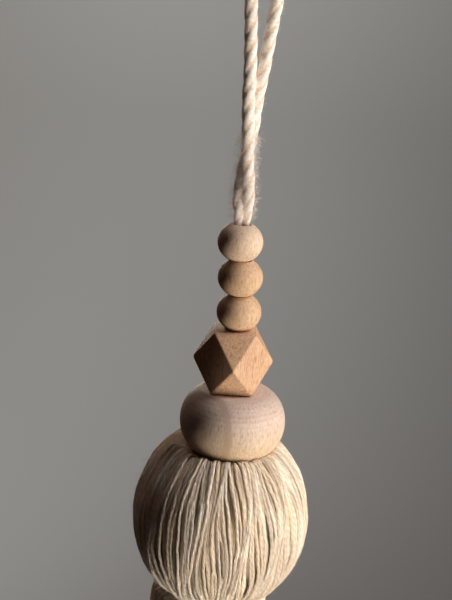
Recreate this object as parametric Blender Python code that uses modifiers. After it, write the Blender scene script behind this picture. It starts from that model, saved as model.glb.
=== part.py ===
"""A hanging tassel: a twisted cotton loop, five turned and cut wooden beads, a yarn head and its skirt.

Metres, +Z up, -Y to the front. The origin is the place inside the top of the rope loop where a hook
or nail carries the tassel, and everything hangs below it.
"""

from collections import namedtuple
from math import cos, pi, radians, sin, sqrt

import bmesh
import bpy
from mathutils import Matrix, Vector

SEAT_GAP = 0.0003  # between pieces that touch on the real tassel
DENT_GAP = 0.0004  # under the large bead's bulge, whose facets stand off its curve

# The rope: three plies, doubled into a loop, squeezed where both legs pass through the beads.
ROPE_RADIUS = 0.00225
ROPE_RADIUS_IN_BEADS = 0.0013
ROPE_LAY = 0.015  # one full turn of a ply
ROPE_PLIES = 3
PLY_CREST_HALF_ANGLE = radians(27)
PLY_VALLEY = 0.74  # depth of the groove between plies, as a share of the rope's radius
STEPS_A_TURN = 9
HIDDEN_STEP = 0.006  # ring spacing inside the beads, where no twist shows
SQUEEZE_ABOVE_BEADS = 0.011  # the rope narrows over this length above the first bead
SQUEEZE_INTO_BEADS = 0.003
LEG_SPACING_IN_BEADS = 0.00295
LEG_TURN_IN_BEADS = radians(20)  # the two legs' line against the X axis
SPLINE_STEPS = 12

# The open part of the rope's route, from the first bead up leg A, over the hook and down leg B.
RoutePoint = namedtuple("RoutePoint", "x y z")
OPEN_ROUTE = (
    RoutePoint(0.0009, -0.0009, -0.10675),
    RoutePoint(0.001, -0.0014, -0.10225),
    RoutePoint(0.0006, -0.002, -0.09525),
    RoutePoint(-0.0002, -0.00245, -0.08775),
    RoutePoint(-0.0005, -0.0024, -0.07975),
    RoutePoint(-0.0014, -0.0019, -0.06855),
    RoutePoint(-0.002, -0.0011, -0.05775),
    RoutePoint(-0.0034, -0.0005, -0.03665),
    RoutePoint(-0.0052, -0.0003, -0.02682),
    RoutePoint(-0.00728, -0.0001, -0.01531),
    RoutePoint(-0.00851, 0.0, -0.00857),
    RoutePoint(-0.00803, 0.0, -0.004),
    RoutePoint(-0.00546, 0.0, -0.00019),
    RoutePoint(-0.0014, 0.0, 0.00197),
    RoutePoint(0.0032, 0.0, 0.00197),
    RoutePoint(0.00726, 0.0, -0.00019),
    RoutePoint(0.00983, 0.0, -0.004),
    RoutePoint(0.01031, 0.0, -0.00857),
    RoutePoint(0.00906, 0.0001, -0.01531),
    RoutePoint(0.00692, 0.0003, -0.02682),
    RoutePoint(0.0051, 0.0005, -0.03665),
    RoutePoint(0.0029, 0.0011, -0.05775),
    RoutePoint(0.0017, 0.0019, -0.06855),
    RoutePoint(0.0005, 0.0024, -0.07975),
    RoutePoint(-0.0012, 0.00245, -0.08775),
    RoutePoint(-0.0026, 0.002, -0.09525),
    RoutePoint(-0.0026, 0.0014, -0.10225),
    RoutePoint(-0.0023, 0.0009, -0.10675),
)

# The beads, from the top down. offset is how far a bead sits beside the tassel's own axis.
FIRST_BEAD_TOP = -0.11075
Bead = namedtuple("Bead", "name shape offset")
BEADS = (
    Bead("round_bead_top", "round", -0.0009),
    Bead("round_bead_middle", "round", 0.00005),
    Bead("round_bead_lower", "round", 0.0005),
    Bead("facet_bead", "facet", -0.0002),
    Bead("large_bead", "large", 0.00115),
)
ROUND_RADIUS = 0.0080
ROUND_HALF_HEIGHT = 0.00615  # between its flat ends
ROUND_FULLNESS = 0.0072  # half-axis of the bead's oval outline along the bore
ROUND_BORE = 0.0035
FACET_HALF_ACROSS = 0.0103  # between upright faces
FACET_HALF_HEIGHT = 0.01129
FACET_TURN = radians(46.3)
FACET_EDGE_ROUND = 0.0004
LARGE_RADIUS = 0.0193
LARGE_HALF_HEIGHT = 0.01165
LARGE_FLAT_RADIUS = 0.0098
WIDE_BORE = 0.0038  # of the facet bead, the large bead and the head
BORE_CHAMFER = 0.0003
ROUND_SIDES = 26
LARGE_SIDES = 44
BORE_SIDES = 20

# The yarn head: an egg-shaped ball of strands, dented on top where the large bead presses into it.
HEAD_OFFSET = -0.0003
HEAD_RADIUS = 0.0325
HEAD_HALF_HEIGHT = 0.0358
HEAD_BELOW_BEADS = 0.02572  # from the large bead's lower flat to the ball's centre
HEAD_BORE_DEPTH = 0.0117
HEAD_TOP_ANGLE = 34.0  # polar angles of the lips, in degrees
HEAD_LIP_ANGLE = 144.2
HEAD_BANDS = 11
RIDGE_HEIGHT = 0.0007
CELLS = 11  # the skirt's locks are laid out as a square of cells drawn onto a disc
HEAD_SIDES = 4 * CELLS
UNDER_LIP_RADIUS = 0.0172  # the strands turn up under the ball to the neck
UNDER_LIP = -0.0298  # heights from the ball's centre
NECK_HOLLOW_RADIUS = 0.0159
NECK_HOLLOW = -0.0270
NECK_RADIUS = 0.0130
NECK_TOP = -0.0262
NECK_FOOT = -0.0314
BACKING_RADIUS = 0.0195
BACKING_TOP = -0.0324
BACKING_FOOT = -0.0338

# The skirt: locks of yarn that spring out from under the head and hang down and a little to the back.
SKIRT_LENGTH = 0.098
SKIRT_SHOULDER_RADIUS = 0.0232
SKIRT_FOOT_RADIUS = 0.0262
SKIRT_SHIFT = Vector((-0.0037, 0.0055))
LOCK_WIDTH = 0.87  # of its cell
LOCK_TIP = 0.74  # width at the tip, as a share of the width above
LOCK_UNEVEN = 0.0045
LOCK_STATIONS = (0.0, 0.045, 0.4, 1.0)  # shares of the length

# The binding: turns of yarn round the neck.
BINDING_TURNS = 3
BINDING_YARN = 0.0014
BINDING_INNER = NECK_RADIUS + SEAT_GAP
BINDING_SIDES = 32


def clear_scene():
    for obj in list(bpy.data.objects):
        bpy.data.objects.remove(obj, do_unlink=True)


def collection(name):
    made = bpy.data.collections.new(name)
    bpy.context.scene.collection.children.link(made)
    return made


def material(name, colour, roughness):
    made = bpy.data.materials.new(name)
    made.use_nodes = True
    shader = made.node_tree.nodes["Principled BSDF"]
    shader.inputs["Base Color"].default_value = (*colour, 1.0)
    shader.inputs["Roughness"].default_value = roughness
    shader.inputs["Metallic"].default_value = 0.0
    return made


def put(name, mesh, finish, group, location=(0, 0, 0)):
    """A named object of this mesh in its collection, shaded smooth up to its crisp edges."""
    if finish:
        mesh.materials.append(finish)
    mesh.shade_smooth()
    mesh.set_sharp_from_angle(angle=radians(35))
    obj = bpy.data.objects.new(name, mesh)
    obj.location = location
    group.objects.link(obj)
    return obj


def mesh_from(bm, name):
    mesh = bpy.data.meshes.new(name)
    bm.to_mesh(mesh)
    bm.free()
    return mesh


def smooth(share):
    share = min(max(share, 0.0), 1.0)
    return share * share * (3 - 2 * share)


def mix(low, high, share):
    return low + (high - low) * share


def bridge(bm, upper, lower):
    """Faces between two rings that run the same way; the lower one may have twice as many points."""
    step = len(lower) // len(upper)
    for i, point in enumerate(upper):
        following = upper[(i + 1) % len(upper)]
        first, last = lower[i * step], lower[(i + 1) * step % len(lower)]
        if step == 1:
            bm.faces.new((point, first, last, following))
        else:
            middle = lower[i * step + 1]
            bm.faces.new((point, first, middle))
            bm.faces.new((point, middle, following))
            bm.faces.new((following, middle, last))


def turned(name, outline, sides, finish, group, location):
    """A closed outline of (radius, height), run down its outer side, turned about the Z axis."""
    mesh = bpy.data.meshes.new(name)
    count = len(outline)
    mesh.from_pydata(
        [(radius, 0, height) for radius, height in outline],
        [(i, (i + 1) % count) for i in range(count)],
        [],
    )
    obj = put(name, mesh, finish, group, location)
    screw = obj.modifiers.new("turn", "SCREW")
    screw.steps = screw.render_steps = sides
    screw.use_merge_vertices = True
    screw.merge_threshold = 0.0001
    return obj


# Beads


def bead_half_height(shape):
    return {"round": ROUND_HALF_HEIGHT, "facet": FACET_HALF_HEIGHT, "large": LARGE_HALF_HEIGHT}[shape]


def bead_places():
    """Each bead with its centre's height, stacked down from the first one."""
    top, places = FIRST_BEAD_TOP, []
    for bead in BEADS:
        half = bead_half_height(bead.shape)
        places.append((bead, top - half))
        top -= 2 * half + SEAT_GAP
    return places


def bored(outer, bore, half_height):
    """An outer outline closed by its bore, whose mouths are chamfered."""
    chamfered = half_height - BORE_CHAMFER
    return [
        (bore + BORE_CHAMFER, half_height),
        *outer,
        (bore + BORE_CHAMFER, -half_height),
        (bore, -chamfered),
        (bore, chamfered),
    ]


def round_outline():
    """An oval cut off flat at both ends."""
    count = 9
    outer = []
    for i in range(count):
        height = ROUND_HALF_HEIGHT * cos(pi * i / (count - 1))
        outer.append((ROUND_RADIUS * sqrt(1 - (height / ROUND_FULLNESS) ** 2), height))
    return bored(outer, ROUND_BORE, ROUND_HALF_HEIGHT)


def large_bead_point(angle, clear=0.0):
    """(radius, height) on the large bead's bulge, or that far clear of it; 90 degrees is its lower flat."""
    bulge = LARGE_RADIUS - LARGE_FLAT_RADIUS
    normal = Vector((cos(angle) / bulge, sin(angle) / LARGE_HALF_HEIGHT)).normalized() * clear
    return LARGE_FLAT_RADIUS + bulge * cos(angle) + normal.x, -LARGE_HALF_HEIGHT * sin(angle) - normal.y


def large_outline():
    count = 13
    angles = [radians(-90 + 180 * i / (count - 1)) for i in range(count)]
    return bored([large_bead_point(angle) for angle in angles], WIDE_BORE, LARGE_HALF_HEIGHT)


def facet_bead(name, finish, group, cutters, location):
    """A block whose corners are cut back to the middles of its edges, which leaves fourteen faces."""
    bm = bmesh.new()
    bmesh.ops.create_cube(bm, size=2)
    bmesh.ops.scale(bm, vec=(FACET_HALF_ACROSS, FACET_HALF_ACROSS, FACET_HALF_HEIGHT), verts=bm.verts)
    bmesh.ops.bevel(
        bm, geom=bm.verts[:], offset=50, offset_type="PERCENT", segments=1, affect="VERTICES"
    )
    bmesh.ops.remove_doubles(bm, verts=bm.verts, dist=SEAT_GAP / 3)
    bmesh.ops.rotate(bm, cent=(0, 0, 0), matrix=Matrix.Rotation(FACET_TURN, 3, "Z"), verts=bm.verts)
    obj = put(name, mesh_from(bm, name), finish, group, location)
    edges = obj.modifiers.new("rounded edges", "BEVEL")
    edges.width = FACET_EDGE_ROUND
    edges.segments = 2
    drill = bmesh.new()
    bmesh.ops.create_cone(
        drill,
        cap_ends=True,
        segments=BORE_SIDES,
        radius1=WIDE_BORE,
        radius2=WIDE_BORE,
        depth=3 * FACET_HALF_HEIGHT,
    )
    cutter = put(name + "_bore", mesh_from(drill, name + "_bore"), None, cutters, location)
    cutter.hide_render = True
    cutter.display_type = "WIRE"
    bore = obj.modifiers.new("bore", "BOOLEAN")
    bore.operation = "DIFFERENCE"
    bore.object = cutter
    return obj


def make_beads(finishes, group, cutters):
    outlines = {"round": (round_outline(), ROUND_SIDES), "large": (large_outline(), LARGE_SIDES)}
    for bead, height in bead_places():
        place = (bead.offset, 0, height)
        if bead.shape == "facet":
            facet_bead(bead.name, finishes["facet"], group, cutters, place)
        else:
            outline, sides = outlines[bead.shape]
            turned(bead.name, outline, sides, finishes[bead.shape], group, place)


# Rope


def head_centre():
    _, large_height = bead_places()[-1]
    return large_height - LARGE_HALF_HEIGHT - HEAD_BELOW_BEADS


def hidden_leg(side):
    """One leg's places through the beads and into the head, from the top down."""
    apart = 0.5 * LEG_SPACING_IN_BEADS * side
    across = Vector((cos(LEG_TURN_IN_BEADS), -sin(LEG_TURN_IN_BEADS), 0)) * apart
    centres = [Vector((bead.offset, 0, height)) for bead, height in bead_places()]
    foot = bead_places()[-1][1] - LARGE_HALF_HEIGHT - HEAD_BORE_DEPTH
    centres.append(Vector((BEADS[-1].offset, 0, foot)))
    return [centre + across for centre in centres]


def rope_route():
    """The whole route: up leg A from inside the head, over the hook, and down leg B into the head."""
    opened = [Vector(point) for point in OPEN_ROUTE]
    return [*reversed(hidden_leg(1)), *opened, *hidden_leg(-1)]


def spline(points):
    """A smooth curve through the points, as short straight runs."""
    curve = []
    ends = [2 * points[0] - points[1], *points, 2 * points[-1] - points[-2]]
    for before, start, end, after in zip(ends, ends[1:], ends[2:], ends[3:]):
        for step in range(SPLINE_STEPS):
            t = step / SPLINE_STEPS
            curve.append(
                0.5
                * (
                    2 * start
                    + (end - before) * t
                    + (2 * before - 5 * start + 4 * end - after) * t**2
                    + (3 * start - before - 3 * end + after) * t**3
                )
            )
    curve.append(points[-1])
    return curve


def rope_rings():
    """Places along the rope, close together where the twist shows and wide apart inside the beads."""
    fine, rings, since = spline(rope_route()), [], 0.0
    rings.append(fine[0])
    for before, point in zip(fine, fine[1:]):
        since += (point - before).length
        hidden = point.z < FIRST_BEAD_TOP - SQUEEZE_INTO_BEADS
        if since >= (HIDDEN_STEP if hidden else ROPE_LAY / STEPS_A_TURN):
            rings.append(point)
            since = 0.0
    if since > 0.5 * ROPE_LAY / STEPS_A_TURN:
        rings.append(fine[-1])
    return rings


def rope_radius(height):
    into = height - (FIRST_BEAD_TOP - SQUEEZE_INTO_BEADS)
    share = smooth(into / (SQUEEZE_ABOVE_BEADS + SQUEEZE_INTO_BEADS))
    return mix(ROPE_RADIUS_IN_BEADS, ROPE_RADIUS, share)


def ply_section():
    """(angle, share of the radius) round the rope: two crest points on each ply and a groove after it."""
    section = []
    for ply in range(ROPE_PLIES):
        middle = 2 * pi * ply / ROPE_PLIES
        section.append((middle - PLY_CREST_HALF_ANGLE, 1.0))
        section.append((middle + PLY_CREST_HALF_ANGLE, 1.0))
        section.append((middle + pi / ROPE_PLIES, PLY_VALLEY))
    return section


def make_rope(finish, group):
    """The plies' outline carried along the route, turning as it goes where the rope can be seen."""
    rings, section, bm = rope_rings(), ply_section(), bmesh.new()
    side, turn, made = Vector((1, 0, 0)), 0.0, []
    for i, place in enumerate(rings):
        along = (rings[min(i + 1, len(rings) - 1)] - rings[max(i - 1, 0)]).normalized()
        side = (side - along * side.dot(along)).normalized()
        other = along.cross(side)
        if i and place.z > FIRST_BEAD_TOP - SQUEEZE_INTO_BEADS:
            turn += 2 * pi * (place - rings[i - 1]).length / ROPE_LAY
        radius = rope_radius(place.z)
        made.append(
            [
                bm.verts.new(
                    place + radius * share * (side * cos(turn + angle) + other * sin(turn + angle))
                )
                for angle, share in section
            ]
        )
    for lower, upper in zip(made, made[1:]):
        bridge(bm, upper, lower)
    bm.faces.new(reversed(made[0]))
    bm.faces.new(made[-1])
    return put("hanging_rope", mesh_from(bm, "hanging_rope"), finish, group)


# Head and skirt


def cell_corner(column, row):
    """The corner of the cell grid as a point of the unit disc: each square ring becomes a round one."""
    x, y = column - CELLS / 2, row - CELLS / 2
    reach = max(abs(x), abs(y))
    if abs(x) >= abs(y):
        angle = pi / 4 * y / x + (pi if x < 0 else 0)
    else:
        angle = pi / 2 - pi / 4 * x / y + (pi if y < 0 else 0)
    return Vector((cos(angle), sin(angle))) * reach / (CELLS / 2)


def rim_cells():
    """The grid's outer corners in order round the disc, starting at its lower left corner."""
    edge = range(CELLS)
    return (
        [(i, 0) for i in edge]
        + [(CELLS, i) for i in edge]
        + [(CELLS - i, CELLS) for i in edge]
        + [(0, CELLS - i) for i in edge]
    )


def ring(bm, radius, height, sides, ridge=0.0, shift=0.0):
    """One ring of the head. On a ridged one every other point stands out, each strand by its own amount."""
    made, start = [], -3 * pi / 4
    for i in range(sides):
        angle = start + 2 * pi * i / sides
        crest = ridge * (i % 2) * (0.75 + 0.25 * sin(2.3 * i)) - 0.3 * ridge
        sway = ridge / RIDGE_HEIGHT * radians(0.7) * sin(1.7 * i + height / 0.006)
        out = Vector((cos(angle + sway), sin(angle + sway))) * (radius + crest)
        made.append(bm.verts.new((out.x + shift, out.y, height)))
    return made


def head_rings(bm):
    """The head's rings from the foot of its bore, out over the ball and in to the neck."""
    seat = HEAD_BELOW_BEADS + LARGE_HALF_HEIGHT  # the large bead's centre above the ball's
    shift = BEADS[-1].offset - HEAD_OFFSET  # the dent lies under the bead, not under the ball's axis
    floor = HEAD_BELOW_BEADS - SEAT_GAP
    dent = [(WIDE_BORE, floor - HEAD_BORE_DEPTH), (WIDE_BORE, floor)]
    for angle in (90, 66, 50, 41):
        radius, height = large_bead_point(radians(angle), DENT_GAP)
        dent.append((radius, seat + height))
    rings = [ring(bm, radius, height, HEAD_SIDES, shift=shift) for radius, height in dent]
    for i in range(HEAD_BANDS + 1):
        share = i / HEAD_BANDS
        angle = radians(mix(HEAD_TOP_ANGLE, HEAD_LIP_ANGLE, share))
        ridge = RIDGE_HEIGHT * smooth(6 * share) * smooth(6 * (1 - share))
        rings.append(
            ring(bm, HEAD_RADIUS * sin(angle), HEAD_HALF_HEIGHT * cos(angle), 2 * HEAD_SIDES, ridge)
        )
    rings += [
        ring(bm, UNDER_LIP_RADIUS, UNDER_LIP, HEAD_SIDES),
        ring(bm, NECK_HOLLOW_RADIUS, NECK_HOLLOW, HEAD_SIDES),
        ring(bm, NECK_RADIUS, NECK_TOP, HEAD_SIDES),
        ring(bm, NECK_RADIUS, NECK_FOOT, HEAD_SIDES),
        ring(bm, BACKING_RADIUS, BACKING_TOP, HEAD_SIDES),
    ]
    return rings


def turned_back(points):
    """The same ring, run the other way from the same point."""
    return [points[0], *reversed(points[1:])]


def join_rings(bm, rings):
    for upper, lower in zip(rings, rings[1:]):
        if len(upper) > len(lower):
            bridge(bm, turned_back(lower), turned_back(upper))
        else:
            bridge(bm, upper, lower)


def hang(point, share, length):
    """Where a point of the backing's unit disc comes to at this share of a lock's length."""
    spread = smooth(share / LOCK_STATIONS[1])
    shoulder = mix(BACKING_RADIUS, SKIRT_SHOULDER_RADIUS, spread)
    radius = mix(shoulder, SKIRT_FOOT_RADIUS, share)
    place = point * radius + SKIRT_SHIFT * spread
    return Vector((place.x, place.y, BACKING_FOOT - length * share))


def add_lock(bm, corners, place, number):
    """One lock of the skirt, grown from its cell of the backing."""
    middle = sum(place, Vector((0, 0))) / 4
    length = SKIRT_LENGTH + LOCK_UNEVEN * sin(12.9898 * number)
    previous = corners
    for share in LOCK_STATIONS:
        width = LOCK_WIDTH * mix(1.0, LOCK_TIP, smooth(2 * share - 1))
        sway = Vector((sin(3.1 * number + 5 * share), cos(4.3 * number + 4 * share))) * 0.006 * share
        section = [
            bm.verts.new(hang(middle + (corner - middle) * width + sway, share, length))
            for corner in place
        ]
        for i in range(4):
            following = (i + 1) % 4
            bm.faces.new((previous[i], section[i], section[following], previous[following]))
        previous = section
    bm.faces.new(reversed(previous))


def make_head_and_skirt(finish, group):
    bm = bmesh.new()
    rings = head_rings(bm)
    join_rings(bm, rings)
    bm.faces.new(rings[0])
    grid = {
        (column, row): bm.verts.new((*(cell_corner(column, row) * BACKING_RADIUS), BACKING_FOOT))
        for column in range(CELLS + 1)
        for row in range(CELLS + 1)
    }
    rim = [grid[cell] for cell in rim_cells()]
    bridge(bm, rings[-1], rim)
    for column in range(CELLS):
        for row in range(CELLS):
            cells = [(column, row), (column + 1, row), (column + 1, row + 1), (column, row + 1)]
            corners, place = [grid[cell] for cell in cells], [cell_corner(*cell) for cell in cells]
            add_lock(bm, corners, place, CELLS * column + row)
    mesh = mesh_from(bm, "yarn_head_and_skirt")
    return put("yarn_head_and_skirt", mesh, finish, group, (HEAD_OFFSET, 0, head_centre()))


def make_binding(finish, group):
    """Turns of yarn lying side by side round the neck, each showing as a rounded rib."""
    half = BINDING_YARN / 2
    outer = []
    for turn in range(BINDING_TURNS):
        middle = BINDING_YARN * (0.5 * (BINDING_TURNS - 1) - turn)
        for angle in (60, 0, -60):
            outer.append(
                (
                    BINDING_INNER + half + half * cos(radians(angle)),
                    middle + half * sin(radians(angle)),
                )
            )
    top = 0.5 * BINDING_TURNS * BINDING_YARN
    outline = [(BINDING_INNER, top), (BINDING_INNER + half, top), *outer]
    outline += [(BINDING_INNER + half, -top), (BINDING_INNER, -top)]
    height = head_centre() + NECK_FOOT + SEAT_GAP + top
    return turned("neck_binding", outline, BINDING_SIDES, finish, group, (HEAD_OFFSET, 0, height))


def main():
    clear_scene()
    parts, cutters = collection("tassel"), collection("cutters")
    cutters.hide_render = True
    finishes = {
        "round": material("round_bead_wood", (0.62, 0.40, 0.24), 0.55),
        "facet": material("facet_bead_wood", (0.60, 0.33, 0.17), 0.5),
        "large": material("large_bead_wood", (0.66, 0.48, 0.36), 0.55),
    }
    rope = material("cotton_rope", (0.80, 0.72, 0.62), 0.95)
    yarn = material("cotton_yarn", (0.76, 0.66, 0.52), 0.95)
    make_beads(finishes, parts, cutters)
    make_rope(rope, parts)
    make_head_and_skirt(yarn, parts)
    make_binding(yarn, parts)


main()
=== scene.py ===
"""A hanging tassel: twisted cotton loop, five wooden beads, a yarn head with its binding, and the skirt."""

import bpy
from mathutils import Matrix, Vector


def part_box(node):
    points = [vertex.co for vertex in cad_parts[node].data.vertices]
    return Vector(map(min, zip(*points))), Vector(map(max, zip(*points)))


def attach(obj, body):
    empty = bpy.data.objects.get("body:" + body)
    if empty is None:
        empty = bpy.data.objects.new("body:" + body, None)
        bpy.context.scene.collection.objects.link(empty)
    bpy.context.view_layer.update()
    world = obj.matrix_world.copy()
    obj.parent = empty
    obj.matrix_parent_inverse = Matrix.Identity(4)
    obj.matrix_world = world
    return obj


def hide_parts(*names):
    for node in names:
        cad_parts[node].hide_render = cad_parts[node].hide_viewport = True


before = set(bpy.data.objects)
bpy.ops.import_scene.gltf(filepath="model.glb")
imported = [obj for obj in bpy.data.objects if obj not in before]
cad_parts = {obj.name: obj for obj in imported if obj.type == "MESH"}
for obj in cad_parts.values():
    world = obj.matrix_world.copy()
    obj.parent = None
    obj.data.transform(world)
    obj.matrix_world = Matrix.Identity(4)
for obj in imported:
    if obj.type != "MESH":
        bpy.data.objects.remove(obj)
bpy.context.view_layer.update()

from collections import namedtuple
from math import cos, pi, radians, sin

import bmesh
import bpy
import numpy as np
from mathutils import Matrix, Vector

# Beads, in metres.
ROUND_RADIUS, ROUND_HALF_HEIGHT, ROUND_FULLNESS, ROUND_BORE = 0.0080, 0.00627, 0.0072, 0.0035
LARGE_RADIUS, LARGE_HALF_HEIGHT, LARGE_FLAT_RADIUS = 0.0193, 0.01177, 0.0098
RIM_RADIUS, RIM_HEIGHT = 0.0122, 0.01169  # of the soft rim round its slightly dished top
RIM_BEND = radians(18)  # how far its outer side is already bent down at the rim
DISH_HEIGHT = 0.01158  # of the dish's middle
DISH = ((0.0060, DISH_HEIGHT), (0.0090, 0.01160), (0.0108, 0.01165), (0.0116, RIM_HEIGHT))  # (radius, height)
PRESSED_IN = 0.0006  # how far the large bead's lower half sinks further into the yarn
FACET_HALF_ACROSS, FACET_HALF_HEIGHT, FACET_TURN = 0.01036, 0.01140, radians(46.0)
FACET_EDGE = 0.0005  # width of its sanded edges
FACET_LEFT = 0.0001  # how far to the left of its CAD node's middle it hangs
WIDE_BORE = 0.0038  # of the facet bead and the large bead
BORE_CHAMFER = 0.0003
ROUND_SIDES, LARGE_SIDES, DRILL_SIDES = 72, 112, 48

# Rope.
ROPE_LAY = 0.019  # length of one turn of its plies
ROPE_STEP = 0.0009  # between two rings of its surface
PLIES = 3
ROPE_RADIUS = 0.00225  # over the crowns of its plies
GROOVE_DEPTH = 0.12  # of the grooves between them, as a share of that radius
IN_BEADS = 0.58  # the rope's width inside the beads, as a share of its free width
FIRST_BEAD_TOP = -0.11075
SQUEEZE_ABOVE, SQUEEZE_INTO = 0.011, 0.003
LEG_SPACING, LEG_TURN = 0.00295, radians(-20)
IN_HEAD = 0.0117  # how far the rope's ends reach into the head

# The open part of the rope's route. In its twelve places round the loop's top, x and z were found by a
# search for the widest bend.
Place = namedtuple("Place", "x y z")
OPEN_ROUTE = (
    Place(0.0007, 0.0003, -0.10675),
    Place(0.0007, -0.0007, -0.10225),
    Place(0.0002, -0.0014, -0.09525),
    Place(-0.0006, -0.0021, -0.08775),
    Place(-0.0010, -0.0024, -0.07975),
    Place(-0.0018, -0.0019, -0.06855),
    Place(-0.002, -0.0011, -0.05775),
    Place(-0.0034, -0.0005, -0.03665),
    Place(-0.0052, -0.0003, -0.02682),
    Place(-0.00728, -0.0001, -0.01531),
    Place(-0.00851, 0.0, -0.00857),
    Place(-0.00803, 0.0, -0.004),
    Place(-0.00546, 0.0, -0.00019),
    Place(-0.0014, 0.0, 0.00197),
    Place(0.0032, 0.0, 0.00197),
    Place(0.00726, 0.0, -0.00019),
    Place(0.00983, 0.0, -0.004),
    Place(0.01031, 0.0, -0.00857),
    Place(0.00906, 0.0001, -0.01531),
    Place(0.00692, 0.0003, -0.02682),
    Place(0.0051, 0.0005, -0.03665),
    Place(0.0026, 0.0011, -0.05775),
    Place(0.0012, 0.0019, -0.06855),
    Place(0.0003, 0.0024, -0.07975),
    Place(-0.0010, 0.0018, -0.08775),
    Place(-0.0021, 0.0009, -0.09525),
    Place(-0.0025, 0.0002, -0.10225),
    Place(-0.0022, -0.0005, -0.10675),
)

# Yarn head and skirt. Heights are from the head's centre.
HEAD_OFFSET = -0.0006
HEAD_BELOW_BEADS = 0.0256
HEAD_RADIUS, HEAD_HALF_HEIGHT = 0.0330, 0.0358
HEAD_SEED, SKIRT_SEED = 27, 23
OUTER_STRANDS, INNER_STRANDS = 222, 160  # of the head's two layers
LAYER_DEPTHS = (0.0, 0.0010, 0.0016)  # where the outer layer starts, the inner one starts, and that one ends
YARN, SKIRT_YARN, BINDING_YARN = 0.00138, 0.00165, 0.00145
YARN_LAY = 0.0055  # length of one turn of its plies
PROFILE_STEP = 0.0002  # between two places of an outline that strands follow
SKIRT_TOP = -0.0338
SKIRT_LENGTH, SKIRT_UNEVEN = 0.098, 0.0042
SKIRT_SHIFT = (-0.0022, 0.0066)
SKIRT_STRANDS = 560

BEAD_NODES = ("round_bead_top", "round_bead_middle", "round_bead_lower", "facet_bead", "large_bead")


# Small helpers


def smooth(share):
    share = np.clip(share, 0.0, 1.0)
    return share * share * (3 - 2 * share)


def centre_of(node_name):
    low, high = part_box(node_name)
    return (Vector(low) + Vector(high)) / 2


def node(tree, kind, inputs=None, **settings):
    """A node of this kind, its settings made and its inputs set or joined to other nodes' outputs."""
    made = tree.nodes.new(kind)
    for name, value in settings.items():
        setattr(made, name, value)
    for name, value in (inputs or {}).items():
        socket = made.inputs[name]
        if isinstance(value, bpy.types.NodeSocket):
            tree.links.new(value, socket)
        else:
            socket.default_value = value
    return made


def maths(tree, operation, *values):
    """The result of one sum over numbers and nodes' outputs."""
    return node(tree, "ShaderNodeMath", dict(enumerate(values)), operation=operation).outputs[0]


def show(name, mesh):
    obj = bpy.data.objects.new(name, mesh)
    bpy.context.scene.collection.objects.link(obj)
    return obj


def mesh_from(bm, name):
    """The mesh that bm holds; bm itself goes."""
    mesh = bpy.data.meshes.new(name)
    bm.to_mesh(mesh)
    bm.free()
    return mesh


def plain_mesh(obj):
    """The object's evaluated shape as a mesh of its own; the object and its modifiers go."""
    bpy.context.view_layer.update()
    graph = bpy.context.evaluated_depsgraph_get()
    shape = obj.evaluated_get(graph)
    mesh = bpy.data.meshes.new_from_object(shape, preserve_all_data_layers=True, depsgraph=graph)
    bpy.data.objects.remove(obj, do_unlink=True)
    return mesh


def grown(name, mesh, tree, inputs):
    """What a Geometry Nodes tree makes of this mesh, as a finished object."""
    source = show(name + "_start", mesh)
    modifier = source.modifiers.new("grow", "NODES")
    modifier.node_group = tree
    for item in tree.interface.items_tree:
        if item.in_out == "INPUT" and item.name in inputs:
            modifier[item.identifier] = inputs[item.name]
    return show(name, plain_mesh(source))


# Shared by the finishes


def weighed(tree, value, centre, weight, rest):
    """rest plus weight times how far value stands from its centre."""
    return maths(tree, "MULTIPLY_ADD", maths(tree, "SUBTRACT", value, centre), weight, rest)


def bumped(tree, strength, depth, height):
    inputs = {"Strength": strength, "Distance": depth, "Height": height}
    return node(tree, "ShaderNodeBump", inputs).outputs["Normal"]


def two_tones(tree, tone, pale, deep):
    """The colour between pale, where tone is 0, and deep, where it is 1."""
    ramp = node(tree, "ShaderNodeValToRGB", {"Fac": tone})
    for end, position, colour in zip(ramp.color_ramp.elements, (0.0, 1.0), (pale, deep)):
        end.position, end.color = position, (*colour, 1)
    return ramp.outputs["Color"]


# Wood


def ranged(tree, value, limits):
    """The value taken from one range to another; limits name the ends that aren't 0 or 1."""
    return node(tree, "ShaderNodeMapRange", {"Value": value, **limits}).outputs["Result"]


def from_axis(tree, place, x, y):
    """How far each place stands from the upright axis at x, y."""
    inputs = {"Vector": place, "Location": (-x, -y, 0.0), "Scale": (1.0, 1.0, 0.0)}
    flat = node(tree, "ShaderNodeMapping", inputs).outputs["Vector"]
    return node(tree, "ShaderNodeVectorMath", {0: flat}, operation="LENGTH").outputs["Value"]


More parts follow.
